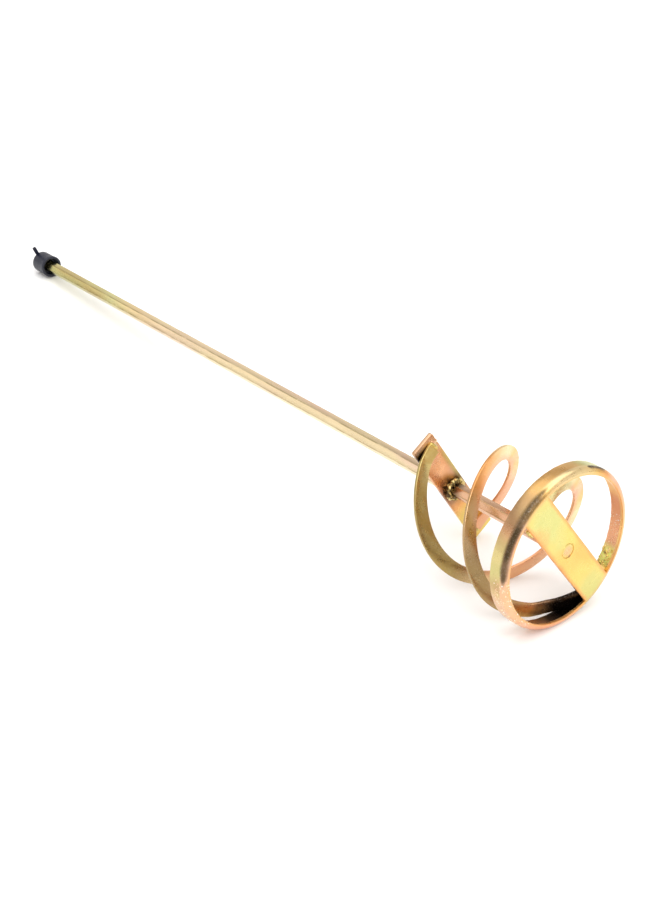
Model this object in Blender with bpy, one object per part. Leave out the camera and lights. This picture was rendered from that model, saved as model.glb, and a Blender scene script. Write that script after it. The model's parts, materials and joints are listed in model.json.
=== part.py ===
"""Mortar mixing paddle: a hexagonal drill shaft with a two-strip helical basket welded to a pressed base ring.

Metres. Every piece is modelled in the tool's own frame: its Z axis runs up the shaft from the base
ring's front face, and its X axis points at the floor. The resting_frame empty then lays the tool down
the way it settles on a floor: on the ring's rim, on one corner of the crossbar and on the shank cap.
"""

import math

import bmesh
import bpy
from mathutils import Matrix, Vector

GAP = 0.0003  # left between pieces that touch

# Base: one pressing, a shallow pan with two windows that leave a bar across it.
RING_R = 0.050
RING_HEIGHT = 0.0112
RING_SHEET = 0.0020
RING_BEND_R = 0.0038
FLANGE_WIDTH = 0.0045
BASE_BAR_WIDTH = 0.0208
BASE_HOLE_R = 0.0045
RING_STEPS = 96

# Shaft: hexagonal bar with a turned tenon that passes through the base.
HEX_FLATS = 0.008
HEX_CHAMFER = 0.0007
HEX_ROLL = math.radians(59)
SHAFT_END = 0.5777
TENON_R = 0.0029
TENON_SHOULDER = 0.0004

# Crossbar near the top of the basket.
CROSSBAR_Z = 0.0922
CROSSBAR_LENGTH = 0.094
CROSSBAR_WIDTH = 0.0168
CROSSBAR_T = 0.0025
CROSSBAR_CORNER_R = 0.0013
BAR_TWIST = math.radians(3.4)  # the base bar trails the crossbar by this much

# The two mixing strips: flat bar on edge, one turn each, half a turn apart. The basket is hand
# welded: its middle drifts sideways, one strip sags and the other stands a little proud.
STRIP_WIDTH = 0.0090
STRIP_T = 0.0018
STRIP_R_TOP = 0.0408
STRIP_RIM_CLEARANCE = 0.0019
STRIP_R_PAST_RIM = 0.0013
STRIP_BULGE = 0.0039
STRIP_BULGE_ROLL = math.radians(34)
STRIP_TILT = math.radians(6.5)
STRIP_TOP = {"a": 0.0935, "b": 0.0912}
STRIP_BOTTOM = {"a": 0.0060, "b": 0.0015}
STRIP_SAG = {"a": 0.0060, "b": -0.0047}
BASKET_LEAN_TOP = 0.0026
BASKET_LEAN_BASE = -0.0061
STRIP_LAP_TOP = math.radians(3)
STRIP_PAST_BAR = 0.00075
STRIP_STRAIGHT_END = math.radians(16)
STRIP_STEPS = 96

# Removable plastic cap on the shank.
CAP_R = 0.0082
CAP_LIP_R = 0.0085
CAP_LIP = 0.0024
CAP_LENGTH = 0.0165
CAP_FLOOR = 0.0020
CAP_EDGE_R = 0.0007
CAP_WALL = 0.0016
CAP_RECESS = 0.0050
CAP_BORE_GAP = 0.0003
CAP_TAB_LENGTH = 0.0072
CAP_TAB_WIDTH = 0.0028
CAP_TAB_T = 0.0016
CAP_TAB_ROLL = math.radians(156)

# Weld beads.
SHAFT_WELD_LEG = 0.0034
SHAFT_WELD_HEIGHT = 0.0042
STRIP_WELD_R = 0.0016
TACK_WELD_R = 0.0013
TACK_WELD_LENGTH = 0.0036

hex_corner_r = HEX_FLATS / math.sqrt(3)
ring_inner_r = RING_R - RING_SHEET
flange_inner_r = RING_R - FLANGE_WIDTH
strip_r_base = ring_inner_r - STRIP_RIM_CLEARANCE
strip_lap_base = math.asin((BASE_BAR_WIDTH / 2 + STRIP_PAST_BAR) / strip_r_base)
cap_end = SHAFT_END + GAP + CAP_FLOOR
cap_start = cap_end - CAP_LENGTH

# How the tool lies: the slope comes from the ring's rim and the cap, the roll from the crossbar's corner.
rest_slope = math.atan((RING_R - CAP_R) / (cap_end - RING_HEIGHT))
corner_x = CROSSBAR_LENGTH / 2 - CROSSBAR_CORNER_R
corner_y = CROSSBAR_WIDTH / 2 - CROSSBAR_CORNER_R
crossbar_back = CROSSBAR_Z + CROSSBAR_T
floor_drop = RING_R - (crossbar_back - RING_HEIGHT) * math.tan(rest_slope)
corner_drop = (floor_drop - CROSSBAR_CORNER_R) / math.hypot(corner_x, corner_y)
crossbar_roll = -math.acos(min(1.0, corner_drop)) - math.atan2(corner_y, corner_x)
base_bar_roll = crossbar_roll - BAR_TWIST


def clear_scene():
    for obj in list(bpy.data.objects):
        bpy.data.objects.remove(obj, do_unlink=True)


def make_material(name, color, roughness, metallic):
    material = bpy.data.materials.new(name)
    material.use_nodes = True
    shader = material.node_tree.nodes["Principled BSDF"]
    shader.inputs["Base Color"].default_value = (*color, 1.0)
    shader.inputs["Roughness"].default_value = roughness
    shader.inputs["Metallic"].default_value = metallic
    return material


def add_piece(name, bm, material=None, at=None, smooth=30):
    """An object from a bmesh built round its own origin; `at` places it in the tool's frame."""
    bmesh.ops.recalc_face_normals(bm, faces=bm.faces)
    mesh = bpy.data.meshes.new(name)
    bm.to_mesh(mesh)
    bm.free()
    mesh.shade_smooth()
    mesh.set_sharp_from_angle(angle=math.radians(smooth))
    obj = bpy.data.objects.new(name, mesh)
    bpy.context.scene.collection.objects.link(obj)
    obj.parent = rest_frame
    obj.matrix_local = at or Matrix.Identity(4)
    if material:
        mesh.materials.append(material)
    return obj


def cut_or_join(obj, other, operation):
    """A Boolean with a helper object that is hidden in renders."""
    other.hide_render = True
    other.display_type = "WIRE"
    modifier = obj.modifiers.new(operation.title(), "BOOLEAN")
    modifier.operation = operation
    modifier.solver = "EXACT"
    modifier.object = other


def lathe(profile, steps, closed=False):
    """Turns (radius, height) points about Z. A closed profile makes a ring, an open one starts and ends on Z."""
    bm = bmesh.new()
    rows = []
    for radius, height in profile:
        count = steps if radius > 1e-9 else 1
        row = []
        for i in range(count):
            turn = 2 * math.pi * i / steps
            row.append(bm.verts.new((radius * math.cos(turn), radius * math.sin(turn), height)))
        rows.append(row)
    pairs = list(zip(rows, rows[1:]))
    if closed:
        pairs.append((rows[-1], rows[0]))
    for low, high in pairs:
        for i in range(steps):
            j = (i + 1) % steps
            corners = [low[i % len(low)], low[j % len(low)], high[j % len(high)], high[i % len(high)]]
            bm.faces.new(dict.fromkeys(corners))
    return bm


def prism(outline, low, high):
    """A straight prism from an (x, y) outline between two heights."""
    bm = bmesh.new()
    bottom = [bm.verts.new((x, y, low)) for x, y in outline]
    top = [bm.verts.new((x, y, high)) for x, y in outline]
    bm.faces.new(bottom[::-1])
    bm.faces.new(top)
    for i in range(len(outline)):
        j = (i + 1) % len(outline)
        bm.faces.new((bottom[i], bottom[j], top[j], top[i]))
    return bm


def arc(center, radius, start, end, steps):
    """Points along an arc, both ends included."""
    turns = [start + (end - start) * i / steps for i in range(steps + 1)]
    return [(center[0] + radius * math.cos(t), center[1] + radius * math.sin(t)) for t in turns]


def rounded_bar(length, width, radius):
    """Outline of a bar centred on the origin, its corners rounded."""
    points = []
    for k, (sx, sy) in enumerate(((1, 1), (-1, 1), (-1, -1), (1, -1))):
        center = (sx * (length / 2 - radius), sy * (width / 2 - radius))
        points += arc(center, radius, k * math.pi / 2, (k + 1) * math.pi / 2, 4)
    return points


def hexagon(flats):
    """Outline of a hexagon whose first flat faces along X."""
    return arc((0, 0), flats / math.sqrt(3), math.pi / 6, math.pi * 11 / 6, 5)


def spin(angle):
    return Matrix.Rotation(angle, 4, "Z")


def smooth_min(a, b, blend):
    return (a + b - math.hypot(a - b, blend)) / 2


def strip_frame(side, turn):
    """Outer edge, tangent, inward width direction and normal of a strip at a fraction of its turn."""

    def edge(t):
        start = crossbar_roll + (math.pi if side == "a" else 0)
        angle = start - t * (2 * math.pi + BAR_TWIST)
        top, bottom = STRIP_TOP[side], STRIP_BOTTOM[side]
        line = top + (bottom - top) * t - 4 * STRIP_SAG[side] * t * (1 - t)
        height = smooth_min(line, seat_top, 0.0010)
        height = -smooth_min(-height, -seat_base, 0.0010)
        radius = STRIP_R_TOP + (strip_r_base - STRIP_R_TOP) * t
        radius += STRIP_BULGE * math.cos(angle - STRIP_BULGE_ROLL)
        lean = BASKET_LEAN_TOP + (BASKET_LEAN_BASE - BASKET_LEAN_TOP) * t
        radius -= lean * math.cos(angle - crossbar_roll)
        radius /= math.cos(max(0.0, angle - start + STRIP_STRAIGHT_END))
        past_rim = 0.4 * max(0.0, height - RING_HEIGHT - STRIP_T)
        limit = ring_inner_r - GAP + min(STRIP_R_PAST_RIM, past_rim)
        radius = smooth_min(radius, limit, 0.0008)
        return Vector((radius * math.cos(angle), radius * math.sin(angle), height)), angle

    half = STRIP_T / 2
    seat_top = CROSSBAR_Z - GAP - half
    seat_base = RING_SHEET + GAP + half + STRIP_WIDTH * math.sin(STRIP_TILT)
    point, angle = edge(turn)
    tangent = (edge(turn + 0.002)[0] - edge(turn - 0.002)[0]).normalized()
    inward = Vector((-math.cos(angle), -math.sin(angle), -math.tan(STRIP_TILT)))
    inward = (inward - tangent * inward.dot(tangent)).normalized()
    return point, tangent, inward, tangent.cross(inward).normalized()


def lap_turn(angle):
    """A lap angle as a fraction of a strip's turn."""
    return angle / (2 * math.pi + BAR_TWIST)


def make_strip(side):
    """One mixing strip, swept from its top lap to its base lap."""
    bm = bmesh.new()
    first, last = -lap_turn(STRIP_LAP_TOP), 1 + lap_turn(strip_lap_base)
    rows = []
    for i in range(STRIP_STEPS + 1):
        point, _, inward, normal = strip_frame(side, first + (last - first) * i / STRIP_STEPS)
        rows.append(
            [
                bm.verts.new(point + inward * across + normal * through)
                for across, through in (
                    (0, -STRIP_T / 2),
                    (STRIP_WIDTH, -STRIP_T / 2),
                    (STRIP_WIDTH, STRIP_T / 2),
                    (0, STRIP_T / 2),
                )
            ]
        )
    for low, high in zip(rows, rows[1:]):
        for i in range(4):
            j = (i + 1) % 4
            bm.faces.new((low[i], low[j], high[j], high[i]))
    bm.faces.new(rows[0][::-1])
    bm.faces.new(rows[-1])
    return bm


def bead(name, center, along, across, normal, size):
    """An ellipsoid weld bead with its own axes and half sizes."""
    bm = bmesh.new()
    bmesh.ops.create_uvsphere(bm, u_segments=16, v_segments=10, radius=1.0)
    bmesh.ops.scale(bm, vec=Vector(size), verts=bm.verts)
    axes = Matrix((along, across, normal)).transposed().to_4x4()
    return add_piece(name, bm, weld_steel, Matrix.Translation(center) @ axes, smooth=60)


clear_scene()
rest_frame = bpy.data.objects.new("resting_frame", None)
bpy.context.scene.collection.objects.link(rest_frame)
rest_frame.rotation_euler = (0, math.pi / 2 + rest_slope, 0)

plated_shaft = make_material("plated_shaft", (0.78, 0.62, 0.38), 0.32, 1.0)
plated_ring = make_material("plated_ring", (0.80, 0.68, 0.36), 0.34, 1.0)
plated_bar = make_material("plated_bar", (0.76, 0.54, 0.36), 0.36, 1.0)
plated_strip = make_material("plated_strip", (0.70, 0.56, 0.33), 0.34, 1.0)
weld_steel = make_material("weld_steel", (0.42, 0.36, 0.26), 0.55, 1.0)
cap_plastic = make_material("cap_plastic", (0.03, 0.033, 0.045), 0.42, 0.0)

# Base ring with its integral bar: the pan is turned, then the windows and the tenon hole are cut.
bend = (RING_R - RING_BEND_R, RING_BEND_R)
pan = [(0, 0)]
pan += arc(bend, RING_BEND_R, -math.pi / 2, 0, 6)
pan += [(RING_R, RING_HEIGHT), (ring_inner_r, RING_HEIGHT)]
pan += arc(bend, RING_BEND_R - RING_SHEET, 0, -math.pi / 2, 6)
pan += [(0, RING_SHEET)]
base_ring = add_piece("base_ring", lathe(pan, RING_STEPS), plated_ring, spin(base_bar_roll))
window_angle = math.asin(BASE_BAR_WIDTH / 2 / flange_inner_r)
window = arc((0, 0), flange_inner_r, window_angle, math.pi - window_angle, 40)
for k in (0, 1):
    cutter = add_piece(
        f"window_cutter_{k}",
        prism(window, -RING_SHEET, 2 * RING_SHEET),
        at=spin(base_bar_roll + k * math.pi),
    )
    cut_or_join(base_ring, cutter, "DIFFERENCE")
hole = arc((0, 0), BASE_HOLE_R, 0, 2 * math.pi * 31 / 32, 31)
hole_cutter = add_piece("tenon_hole_cutter", prism(hole, -RING_SHEET, 2 * RING_SHEET))
cut_or_join(base_ring, hole_cutter, "DIFFERENCE")

# Hexagonal shaft: the hexagon stands on the base's inner face and the tenon reaches down through it.
shaft_bm = prism(hexagon(HEX_FLATS), RING_SHEET + GAP, SHAFT_END)
end_edges = [e for e in shaft_bm.edges if all(v.co.z > SHAFT_END - GAP for v in e.verts)]
bmesh.ops.bevel(shaft_bm, geom=end_edges, offset=HEX_CHAMFER, segments=1, affect="EDGES")
hex_shaft = add_piece("hex_shaft", shaft_bm, plated_shaft, spin(HEX_ROLL), smooth=20)
tenon = arc((0, 0), TENON_R, 0, 2 * math.pi * 23 / 24, 23)
tenon_body = add_piece("tenon_body", prism(tenon, TENON_SHOULDER, 3 * RING_SHEET))
cut_or_join(hex_shaft, tenon_body, "UNION")

# Crossbar, punched for the shaft.
bar_outline = rounded_bar(CROSSBAR_LENGTH, CROSSBAR_WIDTH, CROSSBAR_CORNER_R)
top_crossbar = add_piece(
    "top_crossbar",
    prism(bar_outline, CROSSBAR_Z, crossbar_back),
    plated_bar,
    spin(crossbar_roll),
    smooth=25,
)
punch = arc((0, 0), hex_corner_r + GAP, 0, 2 * math.pi * 31 / 32, 31)
punch_cutter = add_piece(
    "shaft_punch_cutter", prism(punch, CROSSBAR_Z - CROSSBAR_T, crossbar_back + CROSSBAR_T)
)
cut_or_join(top_crossbar, punch_cutter, "DIFFERENCE")

# Mixing strips.
for side in ("a", "b"):
    add_piece(f"mixing_strip_{side}", make_strip(side), plated_strip, smooth=40)

# Shank cap, with its origin on the shaft's axis: a cup whose mouth is wider than its bore.
lip_step = CAP_LIP_R - CAP_R
cap_outer = [(0, 0), (CAP_LIP_R - lip_step, 0), (CAP_LIP_R, lip_step), (CAP_LIP_R, CAP_LIP - lip_step)]
cap_outer += [(CAP_R, CAP_LIP)]
cap_outer += arc((CAP_R - CAP_EDGE_R, CAP_LENGTH - CAP_EDGE_R), CAP_EDGE_R, 0, math.pi / 2, 4)
cap_outer += [(0, CAP_LENGTH)]
cap_place = Matrix.Translation((0, 0, cap_start))
shank_cap = add_piece("shank_cap", lathe(cap_outer, 48), cap_plastic, cap_place)
recess_r = CAP_R - CAP_WALL
recess = [(0, -CAP_LIP), (recess_r, -CAP_LIP), (recess_r, CAP_RECESS), (0, CAP_RECESS)]
recess_cutter = add_piece("cap_recess_cutter", lathe(recess, 48), at=cap_place)
cut_or_join(shank_cap, recess_cutter, "DIFFERENCE")
bore_end = SHAFT_END + GAP - cap_start
bore_cutter = add_piece(
    "cap_bore_cutter",
    prism(hexagon(HEX_FLATS + 2 * CAP_BORE_GAP), -CAP_LIP, bore_end),
    at=cap_place @ spin(HEX_ROLL),
)
cut_or_join(shank_cap, bore_cutter, "DIFFERENCE")
tab_outline = [
    (CAP_R - CAP_WALL / 2, -CAP_TAB_WIDTH / 2),
    (CAP_R + CAP_TAB_LENGTH, -CAP_TAB_WIDTH / 2),
    (CAP_R + CAP_TAB_LENGTH, CAP_TAB_WIDTH / 2),
    (CAP_R - CAP_WALL / 2, CAP_TAB_WIDTH / 2),
]
tab_top = CAP_LENGTH - CAP_EDGE_R
tab_body = add_piece(
    "cap_tab_body", prism(tab_outline, tab_top - CAP_TAB_T, tab_top), at=cap_place @ spin(CAP_TAB_ROLL)
)
cut_or_join(shank_cap, tab_body, "UNION")

# Plug weld round the tenon, dressed flush with the base's front face.
plug_inner, plug_outer = TENON_R + GAP, BASE_HOLE_R - GAP
plug = [(plug_inner, GAP), (plug_outer, GAP), (plug_outer, RING_SHEET), (plug_inner, RING_SHEET)]
add_piece("weld_shaft_base", lathe(plug, 32, closed=True), weld_steel)

# Fillet weld between the shaft and the crossbar, on the side that faces the ring.
fillet_inner = hex_corner_r + GAP
fillet_top = CROSSBAR_Z - GAP
fillet = [
    (fillet_inner, fillet_top),
    (fillet_inner + SHAFT_WELD_LEG, fillet_top),
    (fillet_inner + SHAFT_WELD_LEG * 0.80, fillet_top - SHAFT_WELD_HEIGHT * 0.30),
    (fillet_inner + SHAFT_WELD_LEG * 0.40, fillet_top - SHAFT_WELD_HEIGHT * 0.72),
    (fillet_inner, fillet_top - SHAFT_WELD_HEIGHT),
]
add_piece("weld_shaft_crossbar", lathe(fillet, 32, closed=True), weld_steel, smooth=60)

# Beads across the strips' ends: under the crossbar at the top, on the base bar at the bottom.
for side in ("a", "b"):
    for place, turn, out, seat in (
        ("top", -lap_turn(STRIP_LAP_TOP), -1, CROSSBAR_Z - GAP - STRIP_WELD_R),
        ("base", 1 + lap_turn(strip_lap_base), 1, RING_SHEET + GAP + STRIP_WELD_R),
    ):
        point, tangent, inward, _ = strip_frame(side, turn)
        flat_tangent = Vector((tangent.x, tangent.y, 0)).normalized()
        flat_inward = Vector((0, 0, 1)).cross(flat_tangent)
        flat_inward *= math.copysign(1, flat_inward.dot(inward))
        center = point + inward * STRIP_WIDTH / 2 + flat_tangent * out * (STRIP_WELD_R + 2 * GAP)
        center.z = seat
        size = (STRIP_WIDTH * 0.46, STRIP_WELD_R, STRIP_WELD_R)
        across = Vector((0, 0, 1)).cross(flat_inward)
        bead(f"weld_strip_{side}_{place}", center, flat_inward, across, Vector((0, 0, 1)), size)

# Tack between strip b and the ring's wall, just inside the rim.
tack_turn = 0.925
point, tangent, inward, normal = strip_frame("b", tack_turn)
back = normal * math.copysign(1, normal.z)
tack_center = point + inward * TACK_WELD_R + back * (STRIP_T / 2 + GAP + TACK_WELD_R)
bead("weld_strip_b_ring", tack_center, tangent, inward, back, (TACK_WELD_LENGTH, TACK_WELD_R, TACK_WELD_R))

# Put the contact points on the floor and the whole tool's middle over the origin.
bpy.context.view_layer.update()
graph = bpy.context.evaluated_depsgraph_get()
low, high = Vector((1e9,) * 3), Vector((-1e9,) * 3)
for obj in bpy.context.scene.objects:
    if obj.type == "MESH" and not obj.hide_render:
        for corner in obj.evaluated_get(graph).data.vertices:
            world = obj.matrix_world @ corner.co
            low = Vector(map(min, low, world))
            high = Vector(map(max, high, world))
rest_frame.location = (-(low.x + high.x) / 2, -(low.y + high.y) / 2, -low.z)
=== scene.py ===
import json
import math

import bmesh
import bpy
from mathutils import Matrix, Vector


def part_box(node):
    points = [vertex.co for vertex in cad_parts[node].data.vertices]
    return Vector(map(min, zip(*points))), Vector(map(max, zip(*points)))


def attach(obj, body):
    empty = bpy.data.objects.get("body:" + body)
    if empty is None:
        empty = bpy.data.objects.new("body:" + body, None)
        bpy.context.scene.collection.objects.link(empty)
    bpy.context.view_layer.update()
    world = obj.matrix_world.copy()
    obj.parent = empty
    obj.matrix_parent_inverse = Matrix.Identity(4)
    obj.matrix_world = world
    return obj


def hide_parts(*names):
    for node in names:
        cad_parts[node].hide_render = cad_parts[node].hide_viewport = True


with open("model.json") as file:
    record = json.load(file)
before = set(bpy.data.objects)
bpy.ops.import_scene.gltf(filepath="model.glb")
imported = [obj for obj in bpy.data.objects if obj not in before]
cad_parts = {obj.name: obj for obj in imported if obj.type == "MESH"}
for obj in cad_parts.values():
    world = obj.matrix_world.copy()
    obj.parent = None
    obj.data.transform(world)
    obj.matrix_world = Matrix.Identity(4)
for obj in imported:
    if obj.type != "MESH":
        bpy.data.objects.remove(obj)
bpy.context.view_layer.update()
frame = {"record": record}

# Base ring with its integral bar: one pressing in 2 mm sheet, yellow zinc plated. The rim is drawn round
# a small bend, then two windows are punched out and leave the bar that carries the shaft and the strips.
# The tool's own frame has Z up the shaft from the ring's front face and X towards the floor.
mounts = {mount["name"]: mount for mount in frame["record"]["mounts"]}
shaft_end = 0.5777
up_shaft = Vector(mounts["drill_shank"]["axis"]).normalized()
across = Vector((0, 1, 0))
to_floor = across.cross(up_shaft)
tool_origin = Vector(mounts["drill_shank"]["pos_m"]) - up_shaft * shaft_end
tool_place = Matrix.Translation(tool_origin) @ Matrix((to_floor, across, up_shaft)).transposed().to_4x4()
rest_slope = math.asin(-up_shaft.z)

crossbar_roll = math.radians(-31.86)
bar_twist = math.radians(3.4)
base_bar_roll = crossbar_roll - bar_twist
ring_low, ring_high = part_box("base_ring")
ring_r = (ring_high.y - ring_low.y) / 2
ring_height = 0.0112
ring_sheet = 0.0020
ring_bend_r = 0.0038
flange_inner_r = ring_r - 0.0045
base_bar_width = 0.0208
tenon_hole_r = 0.0045
sheared_edge_r = 0.0003
rim_raggedness = 0.00008
bar_root_r = 0.0020

# The colours that the chromate film takes, from yellow through pink to olive, the umber of burnt metal by
# the welds, which also serves for a painted dark reflection, and near black for painted shade.
gold = (0.80, 0.50, 0.14)
lemon = (0.78, 0.60, 0.17)
green_gold = (0.60, 0.62, 0.24)
orange = (0.79, 0.38, 0.13)
salmon = (0.76, 0.38, 0.21)
rose = (0.78, 0.47, 0.31)
olive = (0.34, 0.26, 0.09)
khaki = (0.52, 0.42, 0.15)
tan = (0.47, 0.28, 0.14)
cream = (0.86, 0.69, 0.38)
umber = (0.09, 0.06, 0.03)
# Near black, used only for painted shade.
painted_shade_black = (0.012, 0.006, 0.004)
lemon_green = (0.84, 0.88, 0.26)
bright_cream = (0.88, 0.72, 0.45)
pale_speck = (0.86, 0.80, 0.72)
brown_speck = (0.22, 0.15, 0.08)


class Signal:
    """An output of a node. Arithmetic on signals adds Math nodes, and node() adds any other node."""

    def __init__(self, tree, socket=None):
        self.tree = tree
        self.socket = socket

    def node(self, kind, inputs=None, out=0, stops=None, **settings):
        node = self.tree.nodes.new(kind)
        for name, value in settings.items():
            setattr(node, name, value)
        if stops:
            node.color_ramp.elements.remove(node.color_ramp.elements[1])
            node.color_ramp.elements[0].position = stops[0][0]
            for position, _ in stops[1:]:
                node.color_ramp.elements.new(position)
            for element, (_, color) in zip(node.color_ramp.elements, stops):
                element.color = (*color, 1.0)
        for name, value in (inputs or {}).items():
            if isinstance(value, Signal):
                self.tree.links.new(value.socket, node.inputs[name])
            else:
                node.inputs[name].default_value = value
        return Signal(self.tree, node.outputs[out])

    def math(self, operation, first, second):
        return self.node("ShaderNodeMath", {0: first, 1: second}, operation=operation)

    def __add__(self, other):
        return self.math("ADD", self, other)

    __radd__ = __add__

    def __sub__(self, other):
        return self.math("SUBTRACT", self, other)

    def __rsub__(self, other):
        return self.math("SUBTRACT", other, self)

    def __mul__(self, other):
        return self.math("MULTIPLY", self, other)

    __rmul__ = __mul__

    def __truediv__(self, other):
        return self.math("DIVIDE", self, other)

    def __rtruediv__(self, other):
        return self.math("DIVIDE", other, self)

    def __pow__(self, other):
        return self.math("POWER", self, other)

    def spread(self, low, high, to_low=0.0, to_high=1.0):
        """This signal's range from low to high made to_low to to_high, clamped."""
        ends = {"Value": self, "From Min": low, "From Max": high, "To Min": to_low, "To Max": to_high}
        return self.node("ShaderNodeMapRange", ends, interpolation_type="SMOOTHSTEP")

    def blend(self, color, amount):
        """This colour mixed with another one."""
        ends = {0: amount, 6: self, 7: color if isinstance(color, Signal) else (*color, 1.0)}
        return self.node("ShaderNodeMix", ends, out=2, data_type="RGBA")

    def split(self):
        parts = self.node("ShaderNodeSeparateXYZ", {"Vector": self})
        return [Signal(self.tree, output) for output in parts.socket.node.outputs]

    def clouds(self, scale, detail=3.0, rough=0.5, warp=0.0):
        """Noise read at this vector signal, with features of about 1 / scale metres."""
        sizes = {"Vector": self, "Scale": scale, "Detail": detail, "Roughness": rough, "Distortion": warp}
        return self.node("ShaderNodeTexNoise", sizes)


def start_material(name):
    material = bpy.data.materials.new(name)
    material.use_nodes = True
    material.node_tree.nodes.clear()
    return material, Signal(material.node_tree)


def end_material(material, shader):
    output = material.node_tree.nodes.new("ShaderNodeOutputMaterial")
    material.node_tree.links.new(shader.socket, output.inputs["Surface"])
    return material


def tool_vector(signal):
    """Object coordinates in the tool's frame: X up the shaft from the ring's front, Y across, Z up."""
    turned = Matrix.Rotation(-rest_slope, 3, "Y") @ tool_origin
    objects = signal.node("ShaderNodeTexCoord", out="Object")
    turn = {"Vector": objects, "Rotation": (0, -rest_slope, 0), "Location": tuple(-turned)}
    return signal.node("ShaderNodeMapping", turn)


def yellow_zinc(name, film, patch=32.0, stretch=(1, 1, 1), dull=0.30, tints=()):
    """Yellow chromate over zinc: a thin film whose tint drifts between gold, pink and olive.

    Each tint is a colour or a film of its own and the function that says where it lies."""
    material, signal = start_material(name)
    place = tool_vector(signal)
    long_place = place.node("ShaderNodeMapping", {"Vector": place, "Scale": stretch})
    drift = long_place.clouds(patch, detail=1.5, rough=0.45)
    wide = long_place.clouds(patch * 0.3, detail=1.0)
    film_depth = drift * 0.9 + wide * 0.7 - 0.3
    color = place.node("ShaderNodeValToRGB", {"Fac": film_depth}, stops=film)
    for tint, where in tints:
        if isinstance(tint, list):
            tint = place.node("ShaderNodeValToRGB", {"Fac": film_depth}, stops=tint)
        color = color.blend(tint, where(place))
    speckle = place.clouds(1300.0, detail=4.0, rough=0.7)
    color = color.blend(pale_speck, speckle.spread(0.50, 0.8, 0.0, 0.25))
    color = color.blend(brown_speck, speckle.spread(0.42, 0.22, 0.0, 0.16))
    brushed = place.node("ShaderNodeMapping", {"Vector": place, "Scale": (0.35, 1, 1)})
    smear = brushed.clouds(140.0, detail=5.0, rough=0.65)
    rough = smear.spread(0.3, 0.7, dull - 0.07, dull + 0.10) + (speckle - 0.5) * 0.10
    bump = {"Strength": 0.25, "Distance": 0.0001, "Height": speckle * 0.5 + smear * 0.8}
    surface = {"Base Color": color, "Metallic": 1.0, "Roughness": rough}
    surface["Normal"] = signal.node("ShaderNodeBump", bump)
    return end_material(material, signal.node("ShaderNodeBsdfPrincipled", surface))


def tint_and_shade_patch(height, turn, out, radius, strength=1.0):
    """A ragged patch round a point given by its height, its angle round the shaft and its distance out, used
    for tints of the film and for painted shade.
    """
    center = (height, out * math.sin(turn), -out * math.cos(turn))

    def where(place):
        ragged = place.clouds(160.0, detail=3.0) * 0.5 + 0.75
        gap = place.node("ShaderNodeVectorMath", {0: place, 1: center}, out="Value", operation="DISTANCE")
        return (gap * ragged).spread(radius, radius * 0.35, 0.0, strength)

    return where


def radius_of(place):
    """Distance from the shaft's axis."""
    _, side, up = place.split()
    return (side * side + up * up) ** 0.5


def toward(place, turn):
    """Distance out from the shaft's axis in the direction of one angle round it."""
    _, side, up = place.split()
    return side * math.sin(turn) - up * math.cos(turn)


def facing(place, turn, width):
    """1 at one angle round the shaft, 0 at width or more to either side of it."""
    return (toward(place, turn) / radius_of(place)).spread(math.cos(width), 1.0)


def absolute(signal):
    """A signal without its sign."""
    return (signal * signal) ** 0.5


def on_bar(place):
    """The bar between the windows, faded out where it runs into the flange."""
    return radius_of(place).spread(flange_inner_r + bar_root_r, flange_inner_r - bar_root_r)


def on_bar_edges(place):
    """A ragged line along each long edge of the bar."""
    off_middle = absolute(toward(place, base_bar_roll + math.pi / 2))
    ragged = place.clouds(120.0, detail=2.0) * 0.0016
    edge = (off_middle + ragged).spread(base_bar_width * 0.40, base_bar_width * 0.53, 0.0, 0.9)
    return edge * on_bar(place)


def on_wall(place):
    """The outside of the rim, past its bend."""
    along, _, _ = place.split()
    outside = radius_of(place).spread(ring_r - 0.0012, ring_r - 0.0004)
    return along.spread(ring_bend_r * 0.55, ring_bend_r * 1.05) * outside


def on_inner_wall(place):
    """The inside of the rim, behind its flange."""
    along, _, _ = place.split()
    inside = radius_of(place).spread(ring_r - 0.0010, ring_r - 0.0016)
    return inside * along.spread(ring_sheet * 0.8, ring_sheet * 1.1)


def on_wall_at(turn, width, strength=0.8):
    return lambda place: on_wall(place) * facing(place, turn, width) * strength


def on_inner_wall_at(turn, width, strength=0.9):
    return lambda place: on_inner_wall(place) * facing(place, turn, width) * strength


def painted_dark_band(turn, width, height, half_width):
    """A painted dark reflection: a band round the outside of the rim's bend."""

    def where(place):
        along, _, _ = place.split()
        wander = place.clouds(60.0, detail=2.0) * 0.0012 - 0.0006
        share = facing(place, turn, width)
        reach = share.spread(0.0, 0.8, 0.30, 1.0) * half_width
        band = absolute(along + wander - height).spread(reach, reach * 0.15)
        outside = radius_of(place).spread(ring_r - ring_bend_r * 0.95, ring_r - ring_sheet)
        patchy = place.clouds(110.0, detail=3.0).spread(0.25, 0.55, 0.85, 1.0)
        return band * outside * patchy * share.spread(0.0, 0.4)

    return where


def on_rim_at(turn, width, strength=0.8):
    """The flange and the bend on the rim's front, at one angle."""

    def where(place):
        along, _, _ = place.split()
        rim = radius_of(place).spread(flange_inner_r - 0.0015, flange_inner_r)
        return rim * along.spread(0.0050, 0.0030) * facing(place, turn, width) * strength

    return where


def lip_of_flange(place):
    """The flange inside the bend, where the film is pink."""
    along, _, _ = place.split()
    flange = radius_of(place).spread(ring_r - 0.0026, ring_r - 0.0042)
    return flange * along.spread(0.0012, 0.0004) * (1.0 - on_bar(place)) * 0.7


def painted_shade_in_rim(place):
    """Painted shade, near black, on the inside of the rim beside the bar's lower end."""
    return on_inner_wall(place) * tint_and_shade_patch(0.008, math.radians(-20), 0.047, 0.037)(place)


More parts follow.
